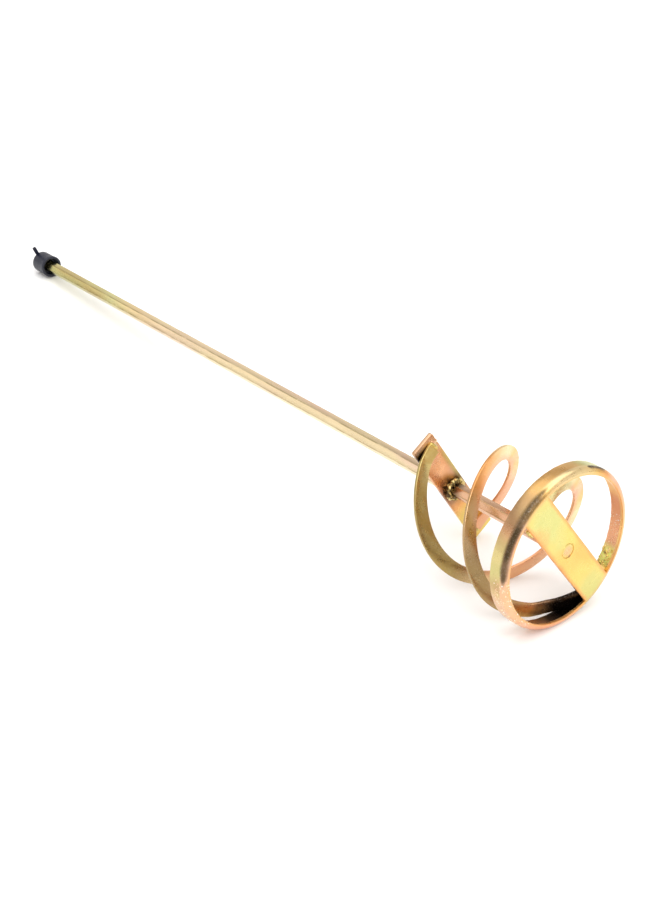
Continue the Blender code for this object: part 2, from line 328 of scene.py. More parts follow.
def add_object(name, mesh, material, smooth=35):
    """An object at the origin whose mesh is already in place, smooth but for its hard edges."""
    mesh.shade_smooth()
    mesh.set_sharp_from_angle(angle=math.radians(smooth))
    mesh.materials.clear()
    mesh.materials.append(material)
    piece = bpy.data.objects.new(name, mesh)
    bpy.context.scene.collection.objects.link(piece)
    return piece


def tool_mesh(name, bm, material, smooth=35):
    """A piece from a bmesh made in the tool's own frame, moved to where the tool lies."""
    mesh = bpy.data.meshes.new(name)
    bm.to_mesh(mesh)
    bm.free()
    mesh.transform(tool_place)
    return add_object(name, mesh, material, smooth)


def arc(center, radius, start, end, steps):
    """Points along an arc, both ends included."""
    turns = [start + (end - start) * i / steps for i in range(steps + 1)]
    return [(center[0] + radius * math.cos(t), center[1] + radius * math.sin(t)) for t in turns]


def ripple(turn, seed):
    """A small uneven wave round a circle, mostly between -1 and 1, that closes on itself."""
    parts = [(7, 0.5), (19, 0.6), (43, 0.7), (97, 0.6)]
    return sum(size * math.sin(count * turn + seed * count) for count, size in parts) / 1.6


def quads(bm, rows, closed=False):
    """Faces between rows of vertices of equal length."""
    count = len(rows[0])
    for low, high in zip(rows, rows[1:]):
        for i in range(count if closed else count - 1):
            j = (i + 1) % count
            bm.faces.new((low[i], low[j], high[j], high[i]))


def bar_sheet(bm, edge, bar_steps, height):
    """The bar's face between the two ends of a row of rim vertices, with a round hole in its middle."""
    half = len(edge) // 2
    ends = {1: edge[: bar_steps + 1], -1: edge[half : half + bar_steps + 1][::-1]}
    reach = base_bar_width / 2
    steps_out = 12
    block = {}
    for side, rim_end in ends.items():
        columns = []
        for k in range(steps_out):
            xs = [reach + (abs(v.co.x) - reach) * k / steps_out for v in rim_end]
            columns.append([bm.verts.new((side * x, v.co.y, height)) for x, v in zip(xs, rim_end)])
        quads(bm, columns + [rim_end])
        block[side] = columns[0]
    edges = []
    for start, stop in ((block[1][-1], block[-1][-1]), (block[-1][0], block[1][0])):
        points = [start.co.lerp(stop.co, i / bar_steps) for i in range(1, bar_steps)]
        edges.append([bm.verts.new(point) for point in points])
    around = block[1] + edges[0] + block[-1][::-1] + edges[1]
    hole = []
    for v in around:
        turn = math.atan2(v.co.y, v.co.x)
        hole.append(bm.verts.new((tenon_hole_r * math.cos(turn), tenon_hole_r * math.sin(turn), height)))
    quads(bm, [around, hole], closed=True)
    return hole


def base_ring_mesh():
    """The pressing: the turned rim, and a front sheet made of its flange and the bar between the windows."""
    bm = bmesh.new()
    half_angle = math.asin(base_bar_width / 2 / flange_inner_r)
    bar_steps = 20
    window_steps = 116
    turns = [half_angle * (2 * i / bar_steps - 1) for i in range(bar_steps)]
    turns += [half_angle + (math.pi - 2 * half_angle) * i / window_steps for i in range(window_steps)]
    turns += [t + math.pi for t in turns]

    def turned(radius, height, rag=0.0):
        points = [(radius * math.cos(t), radius * math.sin(t), height + rag * ripple(t, 1.3)) for t in turns]
        return [bm.verts.new(point) for point in points]

    bend = (ring_r - ring_bend_r, ring_bend_r)
    inner_r = ring_r - ring_sheet
    lip = sheared_edge_r
    front = [(flange_inner_r, 0)] + arc(bend, ring_bend_r, -math.pi / 2, 0, 10)
    rim = arc((ring_r - lip, ring_height - lip), lip, 0, math.pi / 2, 3)
    rim += arc((inner_r + lip, ring_height - lip), lip, math.pi / 2, math.pi, 3)
    back = arc(bend, ring_bend_r - ring_sheet, 0, -math.pi / 2, 6) + [(flange_inner_r, ring_sheet)]
    rows = [turned(*point) for point in front + [(ring_r, ring_height * 0.7)]]
    rows += [turned(*point, rag=rim_raggedness) for point in rim]
    rows += [turned(*point) for point in [(inner_r, ring_height * 0.7)] + back]
    quads(bm, rows, closed=True)
    holes = [bar_sheet(bm, rows[0], bar_steps, 0.0), bar_sheet(bm, rows[-1], bar_steps, ring_sheet)]
    quads(bm, holes, closed=True)
    for sign in (1, -1):
        open_edges = [e for e in bm.edges if len(e.link_faces) == 1]
        side = [e for e in open_edges if sign * (e.verts[0].co.y + e.verts[1].co.y) > 0]
        bmesh.ops.bridge_loops(bm, edges=side)
    bmesh.ops.recalc_face_normals(bm, faces=bm.faces)
    sharp = [e for e in bm.edges if len(e.link_faces) == 2 and e.calc_face_angle() > math.radians(60)]
    level = [e for e in sharp if abs(e.verts[0].co.z - e.verts[1].co.z) < 1e-6]
    window = [e for e in level if max(v.co.z for v in e.verts) < ring_sheet + 1e-5]
    bmesh.ops.bevel(bm, geom=window, offset=lip, segments=2, affect="EDGES", clamp_overlap=True)
    bmesh.ops.transform(bm, matrix=Matrix.Rotation(base_bar_roll, 4, "Z"), verts=bm.verts)
    return bm


bar_film = [(0.30, green_gold), (0.44, lemon), (0.56, lemon), (0.72, gold)]
wall_film = [(0.30, khaki), (0.42, khaki), (0.55, tan), (0.68, salmon)]
ring_finish = yellow_zinc(
    "plated_ring", [(0.30, gold), (0.42, orange), (0.54, rose), (0.68, salmon)], patch=30.0,
    tints=[
        (wall_film, on_wall),
        (orange, on_wall_at(math.radians(170), 0.6, 0.6)),
        (green_gold, on_wall_at(math.radians(-150), 0.35)),
        (tan, on_wall_at(math.radians(138), 0.35)),
        (green_gold, on_wall_at(math.radians(104), 0.38, 0.6)),
        (rose, on_wall_at(math.radians(58), 0.5)),
        (rose, on_rim_at(math.radians(62), 0.6)),
        # Painted highlight in cream on the rim's bend at -178 degrees.
        (cream, on_rim_at(math.radians(-178), 0.5)),
        (cream, on_rim_at(math.radians(-75), 0.7, 0.6)),
        (gold, on_inner_wall_at(math.radians(-120), 0.30, 0.7)),
        (salmon, on_inner_wall_at(math.radians(-82), 0.50)),
        (lemon_green, on_inner_wall_at(math.radians(-56), 0.24, 1.0)),
        (salmon, lip_of_flange),
        (bar_film, on_bar),
        (green_gold, tint_and_shade_patch(0, math.radians(143), 0.030, 0.022, 0.75)),
        (green_gold, tint_and_shade_patch(0, math.radians(-32), 0.040, 0.016, 0.6)),
        (orange, tint_and_shade_patch(0, math.radians(116), 0.030, 0.015, 0.55)),
        (gold, tint_and_shade_patch(0, math.radians(-80), 0.012, 0.010, 0.5)),
        (gold, tint_and_shade_patch(0, math.radians(60), 0.009, 0.012, 0.6)),
        (orange, on_bar_edges),
        (rose, tint_and_shade_patch(0, 0, 0, 0.0048, 0.6)),
        (tan, tint_and_shade_patch(0, math.radians(-20), 0.0042, 0.0015, 0.9)),
        # Painted dark reflection in umber, in bands round the outside of the rim's bend.
        (umber, painted_dark_band(math.radians(124), 0.74, 0.0018, 0.0034)),
        (umber, painted_dark_band(math.radians(-152), 0.20, 0.0024, 0.0019)),
        # Painted shade, near black, inside the rim beside the bar's lower end.
        (painted_shade_black, painted_shade_in_rim),
    ],
)
ring = tool_mesh("pressed_ring", base_ring_mesh(), ring_finish)
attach(ring, "root")
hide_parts("base_ring")


# Shaft: drawn hexagonal steel bar, 8 mm across flats, yellow zinc plated, with a turned tenon that passes
# through the base bar. Drawing rounds its corners slightly, and its free end is chamfered for the chuck.
hex_flats = 0.008
hex_roll = math.radians(59)
hex_corner_r = hex_flats / math.sqrt(3)
hex_rounding = 0.00035
hex_chamfer = 0.0007
tenon_r = 0.0029
tenon_shoulder = 0.0004
piece_gap = 0.0003


def hexagon(flats, rounding, turn):
    """Outline of a hexagon with rounded corners."""
    points = []
    for k in range(6):
        corner = turn + math.pi / 6 + k * math.pi / 3
        reach = (flats / 2 - rounding) / math.cos(math.pi / 6)
        center = (reach * math.cos(corner), reach * math.sin(corner))
        points += arc(center, rounding, corner - math.pi / 6, corner + math.pi / 6, 4)
    return points


def stack(bm, outlines):
    """Adds a closed body through (outline, height) sections of equal counts."""
    rows = [[bm.verts.new((x, y, height)) for x, y in outline] for outline, height in outlines]
    quads(bm, rows, closed=True)
    bm.faces.new(rows[0][::-1])
    bm.faces.new(rows[-1])


def shaft_mesh():
    bm = bmesh.new()
    full = hexagon(hex_flats, hex_rounding, hex_roll)
    ground = hexagon(hex_flats - 2 * hex_chamfer, hex_rounding, hex_roll)
    foot = ring_sheet + piece_gap
    tenon_sides = 30
    last_turn = hex_roll + 2 * math.pi * (tenon_sides - 1) / tenon_sides
    tenon = arc((0, 0), tenon_r, hex_roll, last_turn, tenon_sides - 1)
    base = [(tenon, tenon_shoulder), (tenon, foot), (full, foot), (full, shaft_end - hex_chamfer)]
    stack(bm, base + [(ground, shaft_end)])
    bmesh.ops.recalc_face_normals(bm, faces=bm.faces)
    return bm


def up_to(low, high, strength=1.0):
    """From nothing at one height on the shaft to a full tint at another."""

    def where(place):
        along, _, _ = place.split()
        return along.spread(low, high, 0.0, strength)

    return where


def dark_corner_lines(place):
    """Thin dark lines beside the hexagon's corners, patchy along the shaft."""
    apothem = hex_flats / 2
    corner = radius_of(place).spread(apothem * 1.085, apothem * 1.12)
    return corner * place.clouds(70.0, detail=2.0).spread(0.35, 0.6, 0.05, 0.6)


bright_rose = (0.86, 0.63, 0.46)
bright_gold = (0.86, 0.66, 0.33)
drawn_film = [(0.28, bright_rose), (0.38, bright_cream), (0.48, bright_cream)]
drawn_film += [(0.60, bright_rose), (0.74, bright_cream)]
shaft_finish = yellow_zinc(
    "plated_shaft", drawn_film,
    patch=60.0, stretch=(0.22, 1, 1), dull=0.20,
    tints=[
        ([(0.3, bright_gold), (0.5, bright_cream), (0.7, bright_rose)], up_to(0.20, 0.32, 0.8)),
        ([(0.35, khaki), (0.5, green_gold), (0.7, lemon)], up_to(0.36, 0.52, 0.85)),
        ([(0.3, salmon), (0.5, rose), (0.7, bright_gold)], up_to(0.098, 0.084, 0.8)),
        (olive, dark_corner_lines),
        (umber, tint_and_shade_patch(0.090, 0, 0, 0.010, 0.8)),
    ],
)
shaft = tool_mesh("hexagonal_shaft", shaft_mesh(), shaft_finish, smooth=25)
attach(shaft, "root")
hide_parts("hex_shaft")


# Crossbar: steel flat bar cropped to length, its corners rounded, punched for the shaft and yellow zinc
# plated. It is welded to the shaft all round, and both strips are welded under its ends.
crossbar_low = 0.0922
crossbar_length = 0.094
crossbar_width = 0.0168
crossbar_t = 0.0025
crossbar_corner_r = 0.0013
crossbar_edge_r = 0.00035
bronze = (0.62, 0.40, 0.24)
shaft_shade = 0.016


def flat_curve(name, outlines, thickness, edge_r):
    """A plate with rounded edges from closed outlines: the first is its edge, the others are holes."""
    curve = bpy.data.curves.new(name, "CURVE")
    curve.dimensions = "2D"
    curve.fill_mode = "BOTH"
    curve.extrude = thickness / 2 - edge_r
    curve.bevel_depth = edge_r
    curve.bevel_resolution = 2
    curve.offset = -edge_r
    for outline in outlines:
        spline = curve.splines.new("POLY")
        spline.points.add(len(outline) - 1)
        for point, (x, y) in zip(spline.points, outline):
            point.co = (x, y, 0, 1)
        spline.use_cyclic_u = True
    holder = bpy.data.objects.new(name, curve)
    bpy.context.scene.collection.objects.link(holder)
    graph = bpy.context.evaluated_depsgraph_get()
    mesh = bpy.data.meshes.new_from_object(holder.evaluated_get(graph))
    bpy.data.objects.remove(holder)
    bm = bmesh.new()
    bm.from_mesh(mesh)
    bmesh.ops.remove_doubles(bm, verts=bm.verts, dist=1e-6)
    bmesh.ops.recalc_face_normals(bm, faces=bm.faces)
    return bm


def rounded_bar(length, width, radius):
    """Outline of a bar centred on the origin, its corners rounded."""
    points = []
    for k, (sx, sy) in enumerate(((1, 1), (-1, 1), (-1, -1), (1, -1))):
        center = (sx * (length / 2 - radius), sy * (width / 2 - radius))
        points += arc(center, radius, k * math.pi / 2, (k + 1) * math.pi / 2, 6)
    return points


hole_sides = 48
hole_last_turn = 2 * math.pi * (hole_sides - 1) / hole_sides
punched = arc((0, 0), hex_corner_r + piece_gap, hole_last_turn, 0, hole_sides - 1)
outline = rounded_bar(crossbar_length, crossbar_width, crossbar_corner_r)
crossbar_bm = flat_curve("crossbar_outline", [outline, punched], crossbar_t, crossbar_edge_r)
lift = Matrix.Translation((0, 0, crossbar_low + crossbar_t / 2))
turned_up = lift @ Matrix.Rotation(crossbar_roll, 4, "Z")
bmesh.ops.transform(crossbar_bm, matrix=turned_up, verts=crossbar_bm.verts)


def along_crossbar(low, high, strength=0.9):
    """From nothing at one distance along the crossbar, measured from the shaft, to full at another."""
    return lambda place: toward(place, crossbar_roll).spread(low, high, 0.0, strength)


def crossbar_edge_shade(place):
    """The long edge that faces up as the tool lies, near the shaft: painted shade in khaki."""
    off_middle = toward(place, crossbar_roll + math.pi / 2)
    near_shaft = absolute(toward(place, crossbar_roll + math.pi) - shaft_shade).spread(0.022, 0.008)
    return off_middle.spread(-0.0040, -0.0075) * near_shaft * 0.9


def under_crossbar(tint):
    """Keeps a patch of painted shade to the face that the strips are welded under."""

    def where(place):
        along, _, _ = place.split()
        return tint(place) * along.spread(crossbar_low + 0.0022, crossbar_low + 0.0008)

    return where


bar_finish = yellow_zinc(
    "plated_crossbar", [(0.30, salmon), (0.46, salmon), (0.58, orange), (0.72, rose)], patch=34.0,
    tints=[
        (bronze, along_crossbar(-0.030, -0.038)),
        (orange, along_crossbar(0.004, 0.012)),
        (lemon, along_crossbar(0.012, 0.024)),
        # Painted shade in khaki on the crossbar's upward long edge near the shaft.
        (khaki, crossbar_edge_shade),
        (umber, tint_and_shade_patch(crossbar_low, 0, 0, 0.0155, 0.85)),
        # Painted shade, near black, on the crossbar's lower face beside the weld of strip a.
        (painted_shade_black, under_crossbar(tint_and_shade_patch(crossbar_low, math.radians(141), 0.039, 0.0095))),
    ],
)
crossbar = tool_mesh("top_bar", crossbar_bm, bar_finish, smooth=30)
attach(crossbar, "root")
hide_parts("top_crossbar")


# Mixing strips: 9 x 1.8 mm steel flat bar bent on edge, one turn each, half a turn apart, from under the
# crossbar to the base bar. Each is swept along its helix; the basket was welded by hand, so it leans.
strip_width = 0.0090
strip_t = 0.0018
strip_edge_r = 0.0004
strip_r_top = 0.0408
strip_r_base = ring_r - ring_sheet - 0.0019
strip_past_rim = 0.0013
strip_bulge = 0.0039
seat_blend = 0.0010
rim_blend = 0.0008
strip_bulge_roll = math.radians(34)
strip_tilt = math.radians(6.5)
strip_top = {"a": 0.0935, "b": 0.0912}
strip_bottom = {"a": 0.0060, "b": 0.0015}
strip_sag = {"a": 0.0060, "b": -0.0047}
lean_top = 0.0026
lean_base = -0.0061
lap_top = math.radians(3)
lap_base = math.asin((base_bar_width / 2 + 0.00075) / strip_r_base)
straight_end = math.radians(16)
strip_turn = 2 * math.pi + bar_twist


def smooth_min(a, b, blend):
    """The smaller of two numbers, rounded where they cross."""
    return (a + b - math.hypot(a - b, blend)) / 2


def strip_edge(side, t):
    """A point on a strip's outer edge at a fraction of its turn, and its angle round the shaft."""
    start = crossbar_roll + (math.pi if side == "a" else 0)
    angle = start - t * strip_turn
    seat_top = crossbar_low - piece_gap - strip_t / 2
    seat_base = ring_sheet + piece_gap + strip_t / 2 + strip_width * math.sin(strip_tilt)
    line = strip_top[side] + (strip_bottom[side] - strip_top[side]) * t - 4 * strip_sag[side] * t * (1 - t)
    height = -smooth_min(-smooth_min(line, seat_top, seat_blend), -seat_base, seat_blend)
    radius = strip_r_top + (strip_r_base - strip_r_top) * t
    radius += strip_bulge * math.cos(angle - strip_bulge_roll)
    radius -= (lean_top + (lean_base - lean_top) * t) * math.cos(angle - crossbar_roll)
    radius /= math.cos(max(0.0, angle - start + straight_end))
    past_rim = 0.4 * max(0.0, height - ring_height - strip_t)
    limit = ring_r - ring_sheet - piece_gap + min(strip_past_rim, past_rim)
    radius = smooth_min(radius, limit, rim_blend)
    return Vector((radius * math.cos(angle), radius * math.sin(angle), height)), angle


def strip_frame(side, t):
    """Outer edge, tangent and inward width direction of a strip at a fraction of its turn."""
    point, angle = strip_edge(side, t)
    tangent = (strip_edge(side, t + 0.002)[0] - strip_edge(side, t - 0.002)[0]).normalized()
    inward = Vector((-math.cos(angle), -math.sin(angle), -math.tan(strip_tilt)))
    return point, tangent, (inward - tangent * inward.dot(tangent)).normalized()


def path_object(name, points, sideways, closed=False):
    """A line of vertices in the tool's frame that carries its sideways direction, for a sweep to follow."""
    mesh = bpy.data.meshes.new(name)
    ends = [(i, i + 1) for i in range(len(points) - 1)] + ([(len(points) - 1, 0)] if closed else [])
    mesh.from_pydata([tuple(tool_place @ p) for p in points], ends, [])
    turned = [tool_place.to_3x3() @ s for s in sideways]
    directions = mesh.attributes.new("sideways", "FLOAT_VECTOR", "POINT")
    directions.data.foreach_set("vector", [x for s in turned for x in s])
    path = bpy.data.objects.new(name, mesh)
    bpy.context.scene.collection.objects.link(path)
    return path


def start_tree(name, numbers):
    """A Geometry Nodes tree with a geometry input, the named number inputs and a material."""
    tree = bpy.data.node_groups.new(name, "GeometryNodeTree")
    tree.interface.new_socket("Path", in_out="INPUT", socket_type="NodeSocketGeometry")
    for number in numbers:
        tree.interface.new_socket(number, in_out="INPUT", socket_type="NodeSocketFloat")
    tree.interface.new_socket("Material", in_out="INPUT", socket_type="NodeSocketMaterial")
    tree.interface.new_socket("Mesh", in_out="OUTPUT", socket_type="NodeSocketGeometry")
    entry = tree.nodes.new("NodeGroupInput")
    return tree, {socket.name: Signal(tree, socket) for socket in entry.outputs if socket.name}


def end_tree(tree, shape, material):
    realized = shape.node("GeometryNodeRealizeInstances", {"Geometry": shape})
    finished = shape.node("GeometryNodeSetMaterial", {"Geometry": realized, "Material": material})
    output = tree.nodes.new("NodeGroupOutput")
    tree.links.new(finished.socket, output.inputs["Mesh"])
    return tree


def grow(name, path, tree, material, smooth=35, **numbers):
    """The mesh that a tree makes from a path, as a plain object. Number names use _ for a space."""
    modifier = path.modifiers.new(name, "NODES")
    modifier.node_group = tree
    wanted = {key.replace("_", " ").capitalize(): value for key, value in numbers.items()}
    wanted["Material"] = material
    for socket in tree.interface.items_tree:
        if socket.in_out == "INPUT" and socket.name in wanted:
            modifier[socket.identifier] = wanted[socket.name]
    graph = bpy.context.evaluated_depsgraph_get()
    mesh = bpy.data.meshes.new_from_object(path.evaluated_get(graph))
    bpy.data.objects.remove(path)
    return add_object(name, mesh, material, smooth)


def sweep_tree():
    """Flat bar on edge, swept along a path: the path is its outer edge."""
    tree, given = start_tree("swept_flat_bar", ["Width", "Thickness", "Edge radius", "Unevenness"])
    path = given["Path"]
    line = path.node("GeometryNodeMeshToCurve", {"Mesh": path})
    side = path.node("GeometryNodeInputNamedAttribute", {"Name": "sideways"}, data_type="FLOAT_VECTOR")
    line = path.node("GeometryNodeSetCurveNormal", {"Curve": line, "Normal": side}, mode="FREE")
    flat = {"Width": given["Width"], "Height": given["Thickness"]}
    section = path.node("GeometryNodeCurvePrimitiveQuadrilateral", flat)
    rounding = {"Curve": section, "Radius": given["Edge radius"], "Count": 3}
    section = path.node("GeometryNodeFilletCurve", rounding, mode="POLY")
    shift = path.node("ShaderNodeCombineXYZ", {"X": given["Width"] * 0.5})
    section = path.node("GeometryNodeTransform", {"Geometry": section, "Translation": shift})
    from_edge = path.node("GeometryNodeInputPosition").split()[0] / given["Width"]
    store = {"Geometry": section, "Name": "across", "Value": from_edge}
    section = path.node("GeometryNodeStoreNamedAttribute", store, data_type="FLOAT", domain="POINT")
    share = path.node("GeometryNodeSplineParameter")
    store = {"Geometry": line, "Name": "turned", "Value": share}
    line = path.node("GeometryNodeStoreNamedAttribute", store, data_type="FLOAT", domain="POINT")
    bar = path.node("GeometryNodeCurveToMesh", {"Curve": line, "Profile Curve": section, "Fill Caps": True})
    place = path.node("GeometryNodeInputPosition")
    wave = place.clouds(45.0, detail=2.0) - 0.5
    normal = path.node("GeometryNodeInputNormal")
    push = {0: normal, "Scale": wave * given["Unevenness"]}
    push = path.node("ShaderNodeVectorMath", push, operation="SCALE")
    bar = path.node("GeometryNodeSetPosition", {"Geometry": bar, "Offset": push})
    return end_tree(tree, bar, given["Material"])


flat_bar = sweep_tree()


def stored(place, name):
    """A number that the sweep stored on the strip: across its width or along its turn."""
    return place.node("ShaderNodeAttribute", out="Fac", attribute_name=name)


def inner_edge(place):
    """The inner edge of a strip, where the film is pinker."""
    uneven = place.clouds(90.0, detail=2.0) * 0.5 - 0.25
    return (stored(place, "across") + uneven).spread(0.45, 0.95, 0.0, 0.75)


def in_turn(middle, reach, strength=0.9):
    """A stretch of the strip's turn, given as shares of its length from the crossbar end."""
    return lambda place: absolute(stored(place, "turned") - middle).spread(reach, reach * 0.4, 0.0, strength)


rust_brown = (0.32, 0.19, 0.09)
dark_khaki = (0.34, 0.24, 0.09)
red_brown = (0.42, 0.24, 0.12)
straw = (0.80, 0.60, 0.30)
pale_straw = (0.82, 0.66, 0.36)
brown_film = [(0.35, olive), (0.48, rust_brown), (0.6, dark_khaki), (0.75, red_brown)]
strip_film = [(0.30, orange), (0.42, straw), (0.52, pale_straw), (0.64, gold), (0.76, rose)]
strip_zones = {
    "a": [
        (khaki, in_turn(0.04, 0.12)),
        (brown_film, in_turn(0.21, 0.20)),
        (salmon, in_turn(0.49, 0.13, 0.8)),
        (green_gold, in_turn(0.86, 0.09, 0.6)),
    ],
    "b": [
        (salmon, in_turn(0.05, 0.16)),
        (tan, in_turn(0.52, 0.08, 0.7)),
        (brown_film, in_turn(0.68, 0.17)),
    ],
}
for side in ("a", "b"):
    tints = [(salmon, inner_edge)] + strip_zones[side]
    # Painted shade, near black, on the strips where they reach the bar's lower end.
    tints.append((painted_shade_black, tint_and_shade_patch(0.010, math.radians(-20), 0.046, 0.037)))
    strip_finish = yellow_zinc(f"plated_strip_{side}", strip_film, patch=22.0, tints=tints)
    first = -lap_top / strip_turn
    last = 1 + lap_base / strip_turn
    steps = 360
    frames = [strip_frame(side, first + (last - first) * i / steps) for i in range(steps + 1)]
    path = path_object(f"strip_path_{side}", [f[0] for f in frames], [f[2] for f in frames])
    strip = grow(
        f"helical_strip_{side}", path, flat_bar, strip_finish,
        width=strip_width, thickness=strip_t, edge_radius=strip_edge_r, unevenness=0.0002,
    )
    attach(strip, "root")
    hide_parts(f"mixing_strip_{side}")


# Weld beads: yellow-plated weld metal, lumpy where it froze in ripples. One joins the shaft to the
# crossbar, one crosses each end of each strip, and a tack holds strip b to the ring's wall.
def bead_tree():
    """A rounded bead along a path: ripples run across it, and lumps swell it."""
    names = ["Radius", "Ripple spacing", "Ripple depth", "Lump size", "Lump depth", "Taper"]
    tree, given = start_tree("weld_bead", names)
    path = given["Path"]
    line = path.node("GeometryNodeMeshToCurve", {"Mesh": path})
    along = path.node("GeometryNodeSplineParameter", out="Factor")
    length = path.node("GeometryNodeSplineParameter", out="Length")
    ends = (along * (1.0 - along) * 4.0) ** 0.35
    swell = given["Taper"] * ends + (1.0 - given["Taper"])
    ripples = length * (2 * math.pi) / given["Ripple spacing"]
    wave = path.node("ShaderNodeMath", {0: ripples}, operation="SINE")
    width = given["Radius"] * swell + wave * given["Ripple depth"]
    section = path.node("GeometryNodeCurvePrimitiveCircle", {"Resolution": 20, "Radius": 1.0})
    sweep = {"Curve": line, "Profile Curve": section, "Scale": width, "Fill Caps": True}
    bead = path.node("GeometryNodeCurveToMesh", sweep)
    place = path.node("GeometryNodeInputPosition")
    lumps = place.clouds(1.0 / given["Lump size"], detail=3.0) - 0.5
    normal = path.node("GeometryNodeInputNormal")
    push = {0: normal, "Scale": lumps * given["Lump depth"]}
    push = path.node("ShaderNodeVectorMath", push, operation="SCALE")
    bead = path.node("GeometryNodeSetPosition", {"Geometry": bead, "Offset": push})
    return end_tree(tree, bead, given["Material"])


def weld_metal():
    """Weld metal under the same plating: blotched, pale on its crests, burnt dark by the crossbar, with
    painted shade near black on the beads by the bar's lower end.
    """
    material, signal = start_material("weld_steel")
    place = tool_vector(signal)
    blotch = place.clouds(300.0, detail=4.0, rough=0.65, warp=0.6)
    color = blotch.node(
        "ShaderNodeValToRGB", {"Fac": blotch},
        stops=[(0.30, umber), (0.40, khaki), (0.50, lemon), (0.66, cream)],
    )
    burnt = tint_and_shade_patch(crossbar_low - 0.002, math.radians(100), 0.003, 0.012)(place)
    color = color.blend(umber, burnt * blotch.spread(0.60, 0.46))
    # Painted shade, near black, on the beads by the bar's lower end.
    color = color.blend(painted_shade_black, tint_and_shade_patch(0.006, math.radians(-30), 0.044, 0.016)(place))
    grit = place.clouds(1500.0, detail=3.0)
    bump = signal.node("ShaderNodeBump", {"Strength": 0.5, "Distance": 0.0003, "Height": grit + blotch})
    rough = grit.spread(0.3, 0.7, 0.22, 0.42)
    surface = {"Base Color": color, "Metallic": 0.95, "Roughness": rough, "Normal": bump}
    return end_material(material, signal.node("ShaderNodeBsdfPrincipled", surface))


weld_finish = weld_metal()
weld_bead = bead_tree()
strip_weld_r = 0.0017
strip_weld_sink = 0.55
strip_weld_inset = 0.0006
shaft_weld_r = 0.0021
tack_r = 0.0013
tack_at = 0.925
tack_share = 0.022
tack_lift = 0.0009
bead_steps = 24
fillet_steps = 60


def lay_bead(name, node, points, closed=False, **sizes):
    """A weld piece that stands for a CAD bead."""
    given = {"radius": strip_weld_r, "ripple_spacing": 0.0011, "ripple_depth": 0.00009}
    given.update({"lump_size": 0.0016, "lump_depth": 0.0009, "taper": 1.0})
    given.update(sizes)
    path = path_object(name + "_path", points, [up_shaft] * len(points), closed)
    bead = grow(name, path, weld_bead, weld_finish, smooth=70, **given)
    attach(bead, "root")
    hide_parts(node)


for side in ("a", "b"):
    for end, turn, out, seat in (
        ("top", -lap_top / strip_turn, -1, crossbar_low - strip_weld_r * strip_weld_sink),
        ("base", 1 + lap_base / strip_turn, 1, ring_sheet + strip_weld_r * strip_weld_sink),
    ):
        point, tangent, inward = strip_frame(side, turn)
        level = Vector((tangent.x, tangent.y, 0)).normalized()
        start = point + inward * strip_weld_inset + level * out * strip_weld_r * 0.5
        reach = inward * (strip_width - 2 * strip_weld_inset)
        line = [start + reach * i / bead_steps for i in range(bead_steps + 1)]
        for spot in line:
            spot.z = seat
        lay_bead(f"bead_strip_{side}_{end}", f"weld_strip_{side}_{end}", line)

fillet_r = hex_corner_r + shaft_weld_r * 0.35
fillet_height = crossbar_low - shaft_weld_r * 0.6
fillet_turns = [2 * math.pi * i / fillet_steps for i in range(fillet_steps)]
fillet_line = [Vector((fillet_r * math.cos(t), fillet_r * math.sin(t), fillet_height)) for t in fillet_turns]
lay_bead(
    "bead_shaft_crossbar", "weld_shaft_crossbar", fillet_line, closed=True,
    radius=shaft_weld_r * 0.9, ripple_spacing=0.0032, ripple_depth=0.0004,
    lump_size=0.0024, lump_depth=0.0030, taper=0.0,
)

tack_points = []
for i in range(bead_steps + 1):
    point, tangent, inward = strip_frame("b", tack_at + (i / bead_steps - 0.5) * tack_share)
    back = tangent.cross(inward)
    back *= math.copysign(1, back.z)
    tack_points.append(point + inward * tack_lift + back * (strip_t / 2 + tack_lift))
lay_bead("bead_strip_b_ring", "weld_strip_b_ring", tack_points, radius=tack_r, lump_depth=0.0012)


# Spatter: droplets thrown from the welds that froze on the steel and were plated over with it. They are
# scattered by fixed seeds over patches of the rim and of the crossbar, half sunk and a little flattened.
def spatter_tree():
    """Droplets on a patch of faces, each of a random size."""
    tree, given = start_tree("spatter", ["Per square metre", "Smallest", "Largest", "Seed"])
    patch = given["Path"]
    scatter = {"Mesh": patch, "Density": given["Per square metre"], "Seed": given["Seed"]}
    points = patch.node("GeometryNodeDistributePointsOnFaces", scatter)
    turned = Signal(tree, points.socket.node.outputs["Rotation"])
    sizes = {2: given["Smallest"], 3: given["Largest"], "Seed": given["Seed"]}
    size = patch.node("FunctionNodeRandomValue", sizes, out=1, data_type="FLOAT")
    flat = patch.node("ShaderNodeCombineXYZ", {"X": size, "Y": size * 1.3, "Z": size * 0.6})
    drop = patch.node("GeometryNodeMeshIcoSphere", {"Radius": 1.0, "Subdivisions": 2})
    placed = {"Points": points, "Instance": drop, "Rotation": turned, "Scale": flat}
    drops = patch.node("GeometryNodeInstanceOnPoints", placed)
    return end_tree(tree, drops, given["Material"])


silver = (0.90, 0.86, 0.82)
drop_film = [(0.35, rose), (0.5, bright_cream), (0.65, silver)]
drop_finish = yellow_zinc("plated_drops", drop_film, patch=300.0)


def faces_where(source, keep):
    """Copies of a finished piece's faces whose centres, in the tool's frame, pass a test."""
    bm = bmesh.new()
    bm.from_mesh(source.data)
    to_tool = tool_place.inverted()
    others = [face for face in bm.faces if not keep(to_tool @ face.calc_center_median())]
    bmesh.ops.delete(bm, geom=others, context="FACES")
    return bm


def under_bar(turn, out, reach):
    """A square on the face under the crossbar, round a point given by its angle and distance out."""
    bm = bmesh.new()
    x = out * math.cos(turn)
    y = out * math.sin(turn)
    corners = [(-reach, -reach), (-reach, reach), (reach, reach), (reach, -reach)]
    bm.faces.new([bm.verts.new((x + dx, y + dy, crossbar_low)) for dx, dy in corners])
    bm.transform(tool_place)
    return bm


